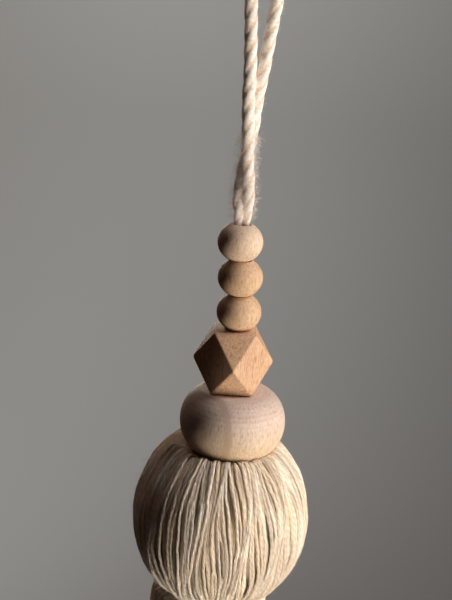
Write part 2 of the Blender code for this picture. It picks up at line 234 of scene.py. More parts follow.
def wood(name, pale, dark, rings, ring_depth, lower=None, turning=None, contrast=1.0):
    """Sanded bare wood with upright grain: fine fibres, short dashes and thin year rings.

    rings is (x, y, first radius, spacing) of the year rings about their upright axis. lower is a second pair
    of tones with the heights between which they take over, yellower and a little darker: partly the wood's
    own warmer colour, partly painted shade on the lower part. turning is (axis x, height from which the tool
    marks show, depth).
    """
    made = bpy.data.materials.new(name)
    made.use_nodes = True
    tree = made.node_tree
    shader = tree.nodes["Principled BSDF"]
    place = node(tree, "ShaderNodeTexCoord").outputs["Object"]

    def noise(scale, detail, roughness=0.5, where=place):
        drawn = node(tree, "ShaderNodeMapping", {"Vector": where, "Scale": scale}).outputs["Vector"]
        inputs = {"Vector": drawn, "Scale": 1.0, "Detail": detail, "Roughness": roughness}
        return node(tree, "ShaderNodeTexNoise", inputs).outputs["Fac"]

    fibre = noise((1950.0, 1950.0, 400.0), 3.0, 0.66)
    speck = noise((2600.0, 2600.0, 1500.0), 1.0)
    streak = noise((1300.0, 1300.0, 55.0), 2.0)
    patch = noise((110.0, 110.0, 70.0), 2.0)
    dash = noise((1400.0, 1400.0, 430.0), 0.0)
    dash = ranged(tree, dash, {"From Min": 0.62, "From Max": 0.74})
    # Year rings: thin darker lines at even distances from an upright axis, bent a little.
    x, y, first, spacing = rings
    drift = node(tree, "ShaderNodeTexNoise", {"Vector": place, "Scale": 45.0, "Detail": 2.0}).outputs["Color"]
    drift = {0: drift, 1: (0.0016, 0.0016, 0.0)}
    drift = node(tree, "ShaderNodeVectorMath", drift, operation="MULTIPLY").outputs[0]
    bent = node(tree, "ShaderNodeVectorMath", {0: place, 1: drift}, operation="ADD").outputs["Vector"]
    turns = weighed(tree, from_axis(tree, bent, x, y), first, pi / spacing, 0.0)
    ring = maths(tree, "POWER", maths(tree, "COSINE", turns), 600.0)

    tone = weighed(tree, ring, 0.0, ring_depth, 0.48)
    tone = weighed(tree, fibre, 0.5, 1.4 * contrast, tone)
    tone = weighed(tree, speck, 0.5, 0.45 * contrast, tone)
    tone = weighed(tree, streak, 0.5, 0.7, tone)
    tone = weighed(tree, patch, 0.5, 0.35, tone)
    tone = weighed(tree, dash, 0.0, 0.35 * contrast, tone)
    height = weighed(tree, dash, 0.0, -0.5, fibre)
    height = weighed(tree, speck, 0.5, 0.5, height)
    if turning:
        # Circles the tool left round the bead's own axis, on its upper side.
        axis, start, depth = turning
        out = from_axis(tree, place, axis, 0.0)
        up = node(tree, "ShaderNodeSeparateXYZ", {0: place}).outputs["Z"]
        groove = node(tree, "ShaderNodeCombineXYZ", {0: out, 1: up, 2: 0.0}).outputs[0]
        groove = noise((1500.0, 1500.0, 1.0), 2.0, 0.6, groove)
        shown = ranged(tree, up, {"From Min": start, "From Max": start + 0.004})
        groove = weighed(tree, groove, 0.5, depth, 0.0)
        groove = maths(tree, "MULTIPLY", groove, shown)
        tone = maths(tree, "ADD", tone, groove)
        height = weighed(tree, groove, 0.0, -1.0, height)

    colour = two_tones(tree, tone, pale, dark)
    # Lower down, yellower and slightly darker tones: partly the wood's own colour, partly painted shade.
    if lower:
        pale_low_warm_painted_shade, dark_low_warm_painted_shade, top, bottom = lower
        up = node(tree, "ShaderNodeSeparateXYZ", {0: place}).outputs["Z"]
        share = ranged(tree, up, {"From Min": top, "From Max": bottom})
        mix = node(tree, "ShaderNodeMix", data_type="RGBA")
        tree.links.new(share, mix.inputs[0])
        tree.links.new(colour, mix.inputs[6])
        tree.links.new(two_tones(tree, tone, pale_low_warm_painted_shade, dark_low_warm_painted_shade), mix.inputs[7])
        colour = mix.outputs[2]
    tree.links.new(colour, shader.inputs["Base Color"])
    rough = ranged(tree, fibre, {"To Min": 0.48, "To Max": 0.68})
    tree.links.new(rough, shader.inputs["Roughness"])
    tree.links.new(bumped(tree, 0.5, 0.00007, height), shader.inputs["Normal"])
    shader.inputs["Specular IOR Level"].default_value = 0.25
    return made


def turned(name, outline, sides, centre, finish):
    """An outline of (radius, height), down the outer side and up the bore, turned about a bead's own axis."""
    outline = np.array(outline)
    count = len(outline)
    angles = 2 * pi * np.arange(sides) / sides
    points = np.stack(
        [
            np.outer(np.cos(angles), outline[:, 0]) + centre.x,
            np.outer(np.sin(angles), outline[:, 0]) + centre.y,
            np.tile(outline[:, 1] + centre.z, (sides, 1)),
        ],
        axis=-1,
    ).reshape(-1, 3)
    faces = []
    for i in range(sides):
        here, beside = i * count, (i + 1) % sides * count
        for j in range(count):
            after = (j + 1) % count
            faces.append((here + j, here + after, beside + after, beside + j))
    mesh = bpy.data.meshes.new(name)
    mesh.from_pydata(points.tolist(), [], faces)
    mesh.shade_smooth()
    mesh.set_sharp_from_angle(angle=radians(40))
    mesh.materials.append(finish)
    return show(name, mesh)


def bored(outer, bore, half_height):
    """An outer outline closed by its bore, whose mouths are broken by a small chamfer."""
    inner, mouth = half_height - BORE_CHAMFER, bore + BORE_CHAMFER
    return [(mouth, half_height), *outer, (mouth, -half_height), (bore, -inner), (bore, inner)]


def round_bead(name, node_name, finish):
    steps = 40
    angles = [pi * i / steps for i in range(1, steps)]
    heights = [ROUND_HALF_HEIGHT * cos(angle) for angle in angles]
    outer = [(ROUND_RADIUS * (1 - (height / ROUND_FULLNESS) ** 2) ** 0.5, height) for height in heights]
    outline = bored(outer, ROUND_BORE, ROUND_HALF_HEIGHT)
    return turned(name, outline, ROUND_SIDES, centre_of(node_name), finish)


def large_bead(name, finish):
    """A dished top, an arc from its rim to the widest place, and a rounder arc below that."""
    steps = 24
    bulge = (LARGE_RADIUS - RIM_RADIUS) / (1 - sin(RIM_BEND))
    upper = []
    for i in range(steps + 1):
        angle = RIM_BEND + (pi / 2 - RIM_BEND) * i / steps
        upper.append((LARGE_RADIUS - bulge * (1 - sin(angle)), RIM_HEIGHT * cos(angle) / cos(RIM_BEND)))
    bulge = LARGE_RADIUS - LARGE_FLAT_RADIUS
    lower = []
    for i in range(1, steps + 1):
        angle = radians(90 * i / steps)
        lower.append((LARGE_FLAT_RADIUS + bulge * cos(angle), -(LARGE_HALF_HEIGHT + PRESSED_IN) * sin(angle)))
    outer = bored([*DISH, *upper, *lower], WIDE_BORE, DISH_HEIGHT)
    return turned(name, outer, LARGE_SIDES, centre_of("large_bead"), finish)


def facet_bead(name, finish):
    """A block whose corners are cut back to the middles of its edges; its edges are sanded round."""
    centre = centre_of("facet_bead") - Vector((FACET_LEFT, 0.0, 0.0))
    bm = bmesh.new()
    bmesh.ops.create_cube(bm, size=2)
    bmesh.ops.scale(bm, vec=(FACET_HALF_ACROSS, FACET_HALF_ACROSS, FACET_HALF_HEIGHT), verts=bm.verts)
    bmesh.ops.bevel(bm, geom=bm.verts[:], offset=50, offset_type="PERCENT", segments=1, affect="VERTICES")
    bmesh.ops.remove_doubles(bm, verts=bm.verts, dist=0.0001)
    bmesh.ops.rotate(bm, cent=(0, 0, 0), matrix=Matrix.Rotation(FACET_TURN, 3, "Z"), verts=bm.verts)
    bmesh.ops.translate(bm, vec=centre, verts=bm.verts)
    block = show(name + "_block", mesh_from(bm, name + "_block"))
    block.data.materials.append(finish)
    drill = bmesh.new()
    bmesh.ops.create_cone(
        drill, cap_ends=True, segments=DRILL_SIDES, radius1=WIDE_BORE, radius2=WIDE_BORE, depth=0.04
    )
    bmesh.ops.translate(drill, vec=centre, verts=drill.verts)
    cutter = show(name + "_drill", mesh_from(drill, name + "_drill"))
    edges = block.modifiers.new("sanded edges", "BEVEL")
    edges.width, edges.segments = FACET_EDGE, 4
    bore = block.modifiers.new("bore", "BOOLEAN")
    bore.operation, bore.object = "DIFFERENCE", cutter
    mesh = plain_mesh(block)
    bpy.data.objects.remove(cutter, do_unlink=True)
    mesh.shade_smooth()
    mesh.set_sharp_from_angle(angle=radians(30))
    return show(name, mesh)


# Yarn


def new_tree(name, inputs, output):
    """A Geometry Nodes tree with these inputs, each (name, kind, value), and the sockets that they give."""
    tree = bpy.data.node_groups.new(name, "GeometryNodeTree")
    for label, kind, value in inputs:
        socket = tree.interface.new_socket(label, in_out="INPUT", socket_type=kind)
        if value is not None:
            socket.default_value = value
    tree.interface.new_socket(output, in_out="OUTPUT", socket_type="NodeSocketGeometry")
    return tree, tree.nodes.new("NodeGroupInput").outputs


def kept(tree, name):
    """The value that the shape's points carry under this name."""
    return node(tree, "GeometryNodeInputNamedAttribute", {"Name": name}, data_type="FLOAT").outputs[0]


def keep(tree, shape, name, value, kind):
    """The shape, its points carrying this value under this name."""
    inputs = {"Geometry": shape, "Name": name, "Value": value}
    return node(tree, "GeometryNodeStoreNamedAttribute", inputs, data_type=kind, domain="POINT").outputs[0]


def round_section(tree, sides):
    """A circle to sweep, whose points carry their own places for the finish to wind by, and those places."""
    section = node(tree, "GeometryNodeCurvePrimitiveCircle", {"Resolution": sides, "Radius": 1.0}).outputs[0]
    where = node(tree, "GeometryNodeInputPosition").outputs[0]
    return keep(tree, section, "round", where, "FLOAT_VECTOR"), where


def sweep_along(tree, wire, section, radius):
    inputs = {"Curve": wire, "Profile Curve": section, "Scale": radius, "Fill Caps": True}
    return node(tree, "GeometryNodeCurveToMesh", inputs).outputs[0]


def end_tree(tree, shape, finish, output):
    """Ends a tree: what it made is real and has its finish."""
    shape = node(tree, "GeometryNodeRealizeInstances", {"Geometry": shape}).outputs[0]
    shape = node(tree, "GeometryNodeSetMaterial", {"Geometry": shape, "Material": finish}).outputs[0]
    node(tree, "NodeGroupOutput", {output: shape})
    return tree


def yarn_tree():
    """Geometry Nodes: spins a yarn along every chain of edges, thick and thin as spun by hand."""
    inputs = (
        ("Paths", "NodeSocketGeometry", None),
        ("Thickness", "NodeSocketFloat", YARN),
        ("Thick and thin", "NodeSocketFloat", 0.2),
        ("Thick to thin length", "NodeSocketFloat", 0.012),
        ("Sides", "NodeSocketInt", 6),
        ("Seed", "NodeSocketFloat", 1.0),
        ("Finish", "NodeSocketMaterial", None),
    )
    tree, given = new_tree("yarn along its paths", inputs, "Yarn")
    wire = node(tree, "GeometryNodeMeshToCurve", {"Mesh": given["Paths"]}).outputs["Curve"]
    run = maths(tree, "DIVIDE", kept(tree, "along"), given["Thick to thin length"])
    spot = node(tree, "ShaderNodeCombineXYZ", {0: run, 1: kept(tree, "strand"), 2: given["Seed"]}).outputs[0]
    noise = node(tree, "ShaderNodeTexNoise", {"Vector": spot, "Scale": 1.0, "Detail": 1.0}).outputs[0]
    swing = maths(tree, "MULTIPLY", maths(tree, "SUBTRACT", noise, 0.5), given["Thick and thin"])
    swing = maths(tree, "MULTIPLY_ADD", swing, 3.0, 1.0)
    radius = maths(tree, "MULTIPLY", given["Thickness"], kept(tree, "width"))
    radius = maths(tree, "MULTIPLY", maths(tree, "MULTIPLY", radius, 0.5), swing)
    section, _ = round_section(tree, given["Sides"])
    yarn = sweep_along(tree, wire, section, radius)
    yarn = node(tree, "GeometryNodeSetShadeSmooth", {"Geometry": yarn}).outputs[0]
    return end_tree(tree, yarn, given["Finish"], "Yarn")


def rope_tree():
    """Geometry Nodes: one soft body with plies that wind round its path."""
    inputs = (
        ("Path", "NodeSocketGeometry", None),
        ("Radius", "NodeSocketFloat", ROPE_RADIUS),
        ("Groove depth", "NodeSocketFloat", GROOVE_DEPTH),
        ("Lay", "NodeSocketFloat", ROPE_LAY),
        ("Sides", "NodeSocketInt", 42),
        ("Finish", "NodeSocketMaterial", None),
    )
    tree, given = new_tree("rope along its path", inputs, "Rope")
    wire = node(tree, "GeometryNodeMeshToCurve", {"Mesh": given["Path"]}).outputs["Curve"]
    tilt = maths(tree, "MULTIPLY", maths(tree, "DIVIDE", kept(tree, "along"), given["Lay"]), 2 * pi)
    wire = node(tree, "GeometryNodeSetCurveTilt", {"Curve": wire, "Tilt": tilt}).outputs[0]
    radius = maths(tree, "MULTIPLY", given["Radius"], kept(tree, "width"))
    section, where = round_section(tree, given["Sides"])
    # 0 on a ply's crown, 1 in the groove beside it.
    split = node(tree, "ShaderNodeSeparateXYZ", {0: where})
    angle = maths(tree, "ARCTAN2", split.outputs["Y"], split.outputs["X"])
    wave = maths(tree, "SINE", maths(tree, "MULTIPLY", angle, PLIES / 2))
    section = keep(tree, section, "groove", maths(tree, "POWER", wave, 4.0), "FLOAT")
    reach = maths(tree, "MULTIPLY", kept(tree, "groove"), given["Groove depth"])
    reach = maths(tree, "SUBTRACT", 1.0, reach)
    carved = node(tree, "ShaderNodeVectorMath", {0: where, "Scale": reach}, operation="SCALE").outputs[0]
    section = node(tree, "GeometryNodeSetPosition", {"Geometry": section, "Position": carved}).outputs[0]
    rope_body = sweep_along(tree, wire, section, radius)
    rope_body = node(tree, "GeometryNodeSetShadeSmooth", {"Geometry": rope_body}).outputs[0]
    return end_tree(tree, rope_body, given["Finish"], "Rope")


def path_mesh(name, strands):
    """Chains of edges, one a strand: (points, widths). Each carries its number and a shade of its own."""
    rng = np.random.default_rng(len(strands))
    points = np.concatenate([places for places, _ in strands])
    sizes = [len(places) for places, _ in strands]
    starts = np.concatenate([[0], np.cumsum(sizes)[:-1]])
    edges = [(start + i, start + i + 1) for start, size in zip(starts, sizes) for i in range(size - 1)]
    mesh = bpy.data.meshes.new(name)
    mesh.from_pydata(points.tolist(), edges, [])
    shades = rng.random(len(strands))
    values = {"along": [], "width": [], "strand": [], "shade": []}
    for number, (places, widths) in enumerate(strands):
        steps = np.linalg.norm(np.diff(places, axis=0), axis=1)
        values["along"].append(np.concatenate([[0.0], np.cumsum(steps)]))
        values["width"].append(np.broadcast_to(widths, len(places)))
        values["strand"].append(np.full(len(places), 3.7 * number))
        values["shade"].append(np.full(len(places), shades[number]))
    for key, parts in values.items():
        layer = mesh.attributes.new(key, "FLOAT", "POINT")
        layer.data.foreach_set("value", np.concatenate(parts).astype(np.float32))
    return mesh


def fuzz_tree():
    """Geometry Nodes: loose fibres that stand out of a surface, each a fine bent hair."""
    inputs = (
        ("Surface", "NodeSocketGeometry", None),
        ("Fibres a square metre", "NodeSocketFloat", 10000.0),
        ("Length", "NodeSocketFloat", 0.004),
        ("Thickness", "NodeSocketFloat", 0.00005),
        ("Lean", "NodeSocketFloat", 1.0),
        ("Above", "NodeSocketFloat", -1.0),
        ("Below", "NodeSocketFloat", 1.0),
        ("Seed", "NodeSocketInt", 1),
        ("Finish", "NodeSocketMaterial", None),
    )
    tree, given = new_tree("loose fibres on a surface", inputs, "Fibres")
    where = node(tree, "GeometryNodeInputPosition").outputs[0]
    height = node(tree, "ShaderNodeSeparateXYZ", {0: where}).outputs["Z"]
    limits = ("Above", "GREATER_THAN"), ("Below", "LESS_THAN")
    above, below = [
        node(tree, "FunctionNodeCompare", {0: height, 1: given[limit]}, operation=side).outputs[0]
        for limit, side in limits
    ]
    allowed = node(tree, "FunctionNodeBooleanMath", {0: above, 1: below}, operation="AND").outputs[0]
    spread = node(
        tree,
        "GeometryNodeDistributePointsOnFaces",
        {
            "Mesh": given["Surface"],
            "Selection": allowed,
            "Density": given["Fibres a square metre"],
            "Seed": given["Seed"],
        },
    )
    hair = node(
        tree,
        "GeometryNodeCurveQuadraticBezier",
        {"Resolution": 3, "Start": (0.0, 0.0, -0.08), "Middle": (0.05, 0.0, 0.65), "End": (0.55, 0.1, 0.75)},
    ).outputs[0]
    section = node(tree, "GeometryNodeCurvePrimitiveCircle", {"Resolution": 3, "Radius": 1.0}).outputs[0]
    slim = maths(tree, "MULTIPLY", maths(tree, "DIVIDE", given["Thickness"], given["Length"]), 0.5)
    hair = sweep_along(tree, hair, section, slim)
    low = node(tree, "ShaderNodeCombineXYZ", {0: -1.0, 1: -1.0, 2: -pi}).outputs[0]
    high = node(tree, "ShaderNodeCombineXYZ", {0: 1.0, 1: 1.0, 2: pi}).outputs[0]
    low = node(tree, "ShaderNodeVectorMath", {0: low, "Scale": given["Lean"]}, operation="SCALE").outputs[0]
    high = node(tree, "ShaderNodeVectorMath", {0: high, "Scale": given["Lean"]}, operation="SCALE").outputs[0]
    lean = node(tree, "FunctionNodeRandomValue", {"Seed": given["Seed"]}, data_type="FLOAT_VECTOR")
    tree.links.new(low, lean.inputs[0])
    tree.links.new(high, lean.inputs[1])
    turn = node(tree, "FunctionNodeEulerToRotation", {0: lean.outputs[0]}).outputs[0]
    turned_by = {"Rotation": spread.outputs["Rotation"], "Rotate By": turn}
    turn = node(tree, "FunctionNodeRotateRotation", turned_by, rotation_space="LOCAL").outputs[0]
    size = node(tree, "FunctionNodeRandomValue", {"Seed": given["Seed"]}, data_type="FLOAT")
    size.inputs[2].default_value, size.inputs[3].default_value = 0.35, 1.0
    size = maths(tree, "MULTIPLY", size.outputs[1], given["Length"])
    hairs = node(
        tree,
        "GeometryNodeInstanceOnPoints",
        {"Points": spread.outputs["Points"], "Instance": hair, "Rotation": turn, "Scale": size},
    ).outputs[0]
    return end_tree(tree, hairs, given["Finish"], "Fibres")


def fuzz_values(fibres, length, thickness, seed):
    return {"Fibres a square metre": fibres, "Length": length, "Thickness": thickness, "Seed": seed}


def cotton(name, pale, deep, twist, plies, fibre_depth, bump_height, scatter):
    """Spun cotton: fine fibres that wind round each strand, and its plies: "painted", "shaped" or "none"."""
    made = bpy.data.materials.new(name)
    made.use_nodes = True
    tree = made.node_tree
    shader = tree.nodes["Principled BSDF"]
    along = node(tree, "ShaderNodeAttribute", attribute_name="along").outputs["Fac"]
    strand = node(tree, "ShaderNodeAttribute", attribute_name="strand").outputs["Fac"]
    shade = node(tree, "ShaderNodeAttribute", attribute_name="shade").outputs["Fac"]
    around = node(tree, "ShaderNodeAttribute", attribute_name="round").outputs["Vector"]
    angle = maths(tree, "MULTIPLY", along, 2 * pi / twist)
    wound = node(tree, "ShaderNodeVectorRotate", {"Vector": around, "Angle": angle}, rotation_type="Z_AXIS")
    split = node(tree, "ShaderNodeSeparateXYZ", {0: wound.outputs[0]})
    across = maths(tree, "POWER", split.outputs["X"], 2.0)
    # 1 on the crown of a ply, -1 in the groove between two.
    crown = maths(tree, "MULTIPLY_ADD", across, 2.0, -1.0)
    down = maths(tree, "MULTIPLY_ADD", along, 260.0, strand)
    spot = {0: split.outputs["X"], 1: split.outputs["Y"], 2: down}
    spot = node(tree, "ShaderNodeCombineXYZ", spot).outputs[0]
    place = node(tree, "ShaderNodeTexCoord").outputs["Object"]

    def noise(where, scale, detail, roughness=0.5):
        inputs = {"Vector": where, "Scale": scale, "Detail": detail, "Roughness": roughness}
        return node(tree, "ShaderNodeTexNoise", inputs).outputs[0]

    fibre = noise(spot, 3.2, 3.0, 0.62)
    patch = noise(place, 160.0, 2.0)

    tone = weighed(tree, shade, 0.5, 0.7, 0.45)
    tone = weighed(tree, fibre, 0.5, fibre_depth, tone)
    tone = weighed(tree, patch, 0.5, 0.5, tone)
    height = fibre
    if plies == "painted":
        # Painted shade: darker in the grooves between the plies, paler on their crowns.
        tone = weighed(tree, crown, 0.5, -0.25, tone)
        height = weighed(tree, crown, 0.0, 0.5, fibre)
    elif plies == "shaped":
        groove = node(tree, "ShaderNodeAttribute", attribute_name="groove").outputs["Fac"]
        # Painted shade: the grooves between the rope's plies tinted deeper tan, beyond the shade their shape
        # casts.
        tone = weighed(tree, groove, 0.44, 0.9, tone)
        tone = weighed(tree, noise(place, 1100.0, 3.0, 0.6), 0.5, 3.6, tone)  # tufts
    tree.links.new(two_tones(tree, tone, pale, deep), shader.inputs["Base Color"])
    tree.links.new(bumped(tree, 0.9, bump_height, height), shader.inputs["Normal"])
    shader.inputs["Roughness"].default_value = 0.9
    shader.inputs["Specular IOR Level"].default_value = 0.12
    shader.inputs["Sheen Weight"].default_value = 0.6
    shader.inputs["Sheen Roughness"].default_value = 0.5
    shader.subsurface_method = "BURLEY"
    shader.inputs["Subsurface Weight"].default_value = scatter
    shader.inputs["Subsurface Radius"].default_value = (1.0, 0.88, 0.75)
    shader.inputs["Subsurface Scale"].default_value = 0.0026
    return made


# Rope


def spline(points, steps=12):
    """A smooth curve through the points."""
    points = [np.array(point, float) for point in points]
    ends = [2 * points[0] - points[1], *points, 2 * points[-1] - points[-2]]
    curve = []
    for before, start, end, after in zip(ends, ends[1:], ends[2:], ends[3:]):
        for step in range(steps):
            t = step / steps
            curve.append(
                0.5
                * (
                    2 * start
                    + (end - before) * t
                    + (2 * before - 5 * start + 4 * end - after) * t**2
                    + (3 * start - before - 3 * end + after) * t**3
                )
            )
    curve.append(points[-1])
    return np.array(curve)


def even(curve, step):
    """The same curve at places an even step apart."""
    lengths = np.concatenate([[0.0], np.cumsum(np.linalg.norm(np.diff(curve, axis=0), axis=1))])
    at = np.linspace(0.0, lengths[-1], int(round(lengths[-1] / step)) + 1)
    return np.stack([np.interp(at, lengths, curve[:, k]) for k in range(curve.shape[1])], axis=1)


def rope_route():
    """Up one leg from inside the head, round the loop's top, and down the other leg into the head."""

    def hidden_leg(side):
        across = 0.5 * LEG_SPACING * side * np.array((cos(LEG_TURN), -sin(LEG_TURN), 0.0))
        centres = [np.array(centre_of(name)) for name in BEAD_NODES]
        foot = centres[-1] - (0.0, 0.0, LARGE_HALF_HEIGHT + IN_HEAD)
        return [centre + across for centre in (*centres, foot)]

    return [*reversed(hidden_leg(1)), *OPEN_ROUTE, *hidden_leg(-1)]


def rope_width(heights):
    into = heights - (FIRST_BEAD_TOP - SQUEEZE_INTO)
    return IN_BEADS + (1 - IN_BEADS) * smooth(into / (SQUEEZE_ABOVE + SQUEEZE_INTO))


def rope(finish):
    path = even(spline(rope_route()), ROPE_STEP)
    mesh = path_mesh("rope path", [(path, rope_width(path[:, 2]))])
    return grown("cotton_rope_loop", mesh, rope_tree(), {"Finish": finish}), path


# Head and skirt


def wander(rng, at, longest, shortest, count=4):
    """A smooth random walk about zero, of about unit size, over places at in metres."""
    lengths = np.geomspace(longest, shortest, count)
    total = np.zeros(len(at))
    for length in lengths:
        total += (length / longest) ** 0.5 * np.sin(2 * pi * at / length + rng.uniform(0, 2 * pi))
    return total / 1.3


class Field:
    """A smooth field over the ball that neighbouring strands share, so that they run together and part."""

    def __init__(self, rng, turns, longest):
        self.waves = [
            (int(rng.integers(*turns)), rng.uniform(0.5, 2.2) / longest, rng.uniform(0, 2 * pi))
            for _ in range(14)
        ]

    def at(self, angle, along):
        total = sum(np.sin(m * angle + 2 * pi * k * along + phase) for m, k, phase in self.waves)
        return total / (0.7 * len(self.waves) ** 0.5 * 1.4)


def head_profile():
    """Places (radius, height) of the outermost strands' middles, from under the large bead to the neck."""
    inset = 0.5 * YARN
    # Out along the bead's underside, then over and down the ball.
    places = [(0.0106, 0.0249), (0.0127, 0.0256), (0.0148, 0.02665)]
    places += [(0.0164, 0.0274), (0.0179, 0.0279), (0.0193, 0.0279)]
    for angle in (41.5, 45, 50, 57, 66, 76, 88, 101, 114, 126, 136):
        a = radians(angle)
        fuller = 0.0014 * max(0.0, -cos(a))
        places.append(((HEAD_RADIUS - inset + fuller) * sin(a), (HEAD_HALF_HEIGHT - inset + fuller) * cos(a)))
    places += [(0.0200, -0.0286), (0.0180, -0.0293), (0.0164, -0.0284), (0.0155, -0.0268)]
    return even(spline(places, 10), PROFILE_STEP)


def head_strands(rng, centre, count, points, depths, profile, fields, width):
    """count strands over the ball. At both ends room is short, so every other one dives under the rest."""
    lengths = np.linspace(0.0, PROFILE_STEP * (len(profile) - 1), len(profile))
    tangent = np.gradient(profile, axis=0)
    tangent /= np.linalg.norm(tangent, axis=1)[:, None]
    outward = np.stack([-tangent[:, 1], tangent[:, 0]], axis=1)
    outward *= np.sign(np.sum(outward * profile, axis=1))[:, None]
    sway, dip, ridge = fields
    low, high = depths
    strands = []
    for number in range(count):
        angle = 2 * pi * (number + rng.uniform(-0.3, 0.3)) / count
        start, end = rng.uniform(0, 0.001), lengths[-1] - rng.uniform(0, 0.0012)
        at = np.linspace(start, end, points)
        radius = np.interp(at, lengths, profile[:, 0])
        height = np.interp(at, lengths, profile[:, 1])
        out = np.stack([np.interp(at, lengths, outward[:, k]) for k in (0, 1)], axis=1)
        depth = low + (high - low) * np.clip(
            0.5 + 0.15 * wander(rng, at, 0.06, 0.02) + 0.2 * dip.at(angle, at) + rng.uniform(-0.5, 0.5), 0, 1
        )
        if number % 5 in (0, 2):
            depth = 0.3 * depth - 0.0002
        if number % 2:
            rise, dive = rng.uniform(0.010, 0.030), end - rng.uniform(0.006, 0.018)
            covered = 1 - smooth((at - rise) / 0.010) * smooth((dive - at) / 0.010)
            depth = depth + 0.0008 * covered
        depth = depth + 0.0003 * np.clip(0.45 + 0.6 * ridge.at(angle, at), 0, 1) - 0.0001
        free = smooth((radius - 0.0125) / 0.008)
        depth = depth * (0.2 + 0.8 * free)
        side = free * (0.0010 * sway.at(angle, at) + 0.00022 * wander(rng, at, 0.045, 0.012))
        side += 0.00007 * wander(rng, at, 0.0085, 0.0042, 3) + free * rng.normal() * 0.0007 * (at / end - 0.5)
        turn = angle + side / radius
        radius = radius - out[:, 0] * depth
        height = height - out[:, 1] * depth
        places = np.stack([radius * np.cos(turn), radius * np.sin(turn), height], axis=1) + centre
        strands.append((places, width * (0.78 + 0.22 * free) * rng.uniform(0.8, 1.15)))
    return strands


def yarn_head(finish, tree, centre):
    rng = np.random.default_rng(HEAD_SEED)
    profile = head_profile()
    fields = Field(rng, (7, 24), 0.09), Field(rng, (7, 26), 0.07), Field(rng, (14, 32), 0.09)
    outer = head_strands(rng, centre, OUTER_STRANDS, 60, LAYER_DEPTHS[:2], profile, fields, 0.74)
    inner = head_strands(rng, centre, INNER_STRANDS, 44, LAYER_DEPTHS[1:], profile, fields, 0.88)
    values = {
        "Thickness": YARN,
        "Thick and thin": 0.14,
        "Thick to thin length": 0.008,
        "Seed": 1.0,
        "Finish": finish,
    }
    return [
        grown("head_outer_strands", path_mesh("outer strands", outer), tree, {**values, "Sides": 7}),
        grown("head_inner_strands", path_mesh("inner strands", inner), tree, {**values, "Sides": 6}),
    ]


def lathe_core(name, outline, shift, centre, sides, finish):
    """A closed plain body of revolution under the strands; shift gives each ring its own centre."""
    bm = bmesh.new()
    rings = []
    for (radius, height), (dx, dy) in zip(outline, shift):
        rings.append(
            [
                bm.verts.new(
                    (
                        centre.x + dx + radius * cos(2 * pi * i / sides),
                        centre.y + dy + radius * sin(2 * pi * i / sides),
                        centre.z + height,
                    )
                )
                for i in range(sides)
            ]
        )
    for upper, lower in zip(rings, rings[1:]):
        for i in range(sides):
            bm.faces.new((upper[i], lower[i], lower[(i + 1) % sides], upper[(i + 1) % sides]))
    bm.faces.new(rings[0])
    bm.faces.new(reversed(rings[-1]))
    bmesh.ops.recalc_face_normals(bm, faces=bm.faces[:])
    mesh = mesh_from(bm, name)
    mesh.shade_smooth()
    mesh.materials.append(finish)
    return show(name, mesh)


def head_core(finish, centre):
    inset = 0.0036
    outline = [(0.004, 0.0222), (0.012, 0.0228), (0.0165, 0.0245)]
    for angle in range(44, 137, 6):
        a = radians(angle)
        outline.append(((HEAD_RADIUS - inset) * sin(a), (HEAD_HALF_HEIGHT - inset) * cos(a)))
    outline += [(0.0165, -0.0262), (0.0128, -0.0258), (0.0128, -0.0318), (0.0098, -0.0325)]
    return lathe_core("packed_yarn_in_head", outline, [(0, 0)] * len(outline), centre, 96, finish)


SKIRT_SHAPE = (  # height under the head's centre, radius, share of the sideways shift
    (-0.0306, 0.0121, 0.0),
    (-0.0314, 0.0128, 0.0),
    (-0.0319, 0.0156, 0.05),
    (-0.0325, 0.0190, 0.35),
    (-0.0344, 0.0213, 0.80),
    (-0.0385, 0.0220, 1.0),
    (-0.0600, 0.0231, 1.0),
    (-0.0900, 0.0243, 1.0),
    (-0.1318, 0.0255, 1.0),
)


def skirt_strands(rng, centre, count, points):
    """Strands that spring out from under the binding and hang, packed like a sunflower's seeds."""
    shape = even(spline(SKIRT_SHAPE, 12), PROFILE_STEP)
    sway_x, sway_y = Field(rng, (2, 7), 0.06), Field(rng, (2, 7), 0.06)
    strands = []
    for number in range(count):
        share = ((number + 0.5) / count) ** 0.5
        angle = number * pi * (3 - 5**0.5)
        foot = SKIRT_TOP - SKIRT_LENGTH - SKIRT_UNEVEN * rng.uniform(-1, 1)
        heights, radii, shifts = shape[:, 0], shape[:, 1], shape[:, 2]
        # Closer together where the strand bends over.
        steps = np.concatenate([np.linspace(0, 0.13, 7)[:-1], np.linspace(0.13, 1, points - 6)])
        height = heights[0] + (foot - heights[0]) * steps
        radius = np.interp(-height, -heights, radii) * share
        shift = np.interp(-height, -heights, shifts)
        below = SKIRT_TOP - height
        loose = smooth(below / 0.03)
        side = loose * (0.0011 * sway_x.at(angle, below) + 0.0005 * wander(rng, below, 0.05, 0.012))
        out = 0.0009 * sway_y.at(angle, below) + 0.0004 * wander(rng, below, 0.06, 0.015)
        out = loose * out - 0.0007 * loose
        x = (radius + out * share) * cos(angle) - side * sin(angle) + SKIRT_SHIFT[0] * shift
        y = (radius + out * share) * sin(angle) + side * cos(angle) + SKIRT_SHIFT[1] * shift
        places = np.stack([x, y, height], axis=1) + centre
        crowd = np.clip(radius / max(share, 0.05) / 0.0226, 0.6, 1.0)
        strands.append((places, crowd * rng.uniform(0.85, 1.15)))
    return strands


def skirt(finish, tree, centre):
    rng = np.random.default_rng(SKIRT_SEED)
    strands = skirt_strands(rng, centre, SKIRT_STRANDS, 20)
    values = {
        "Thickness": SKIRT_YARN,
        "Thick and thin": 0.15,
        "Thick to thin length": 0.012,
        "Sides": 6,
        "Seed": 2.0,
        "Finish": finish,
    }
    return grown("skirt_strands", path_mesh("skirt strands", strands), tree, values)


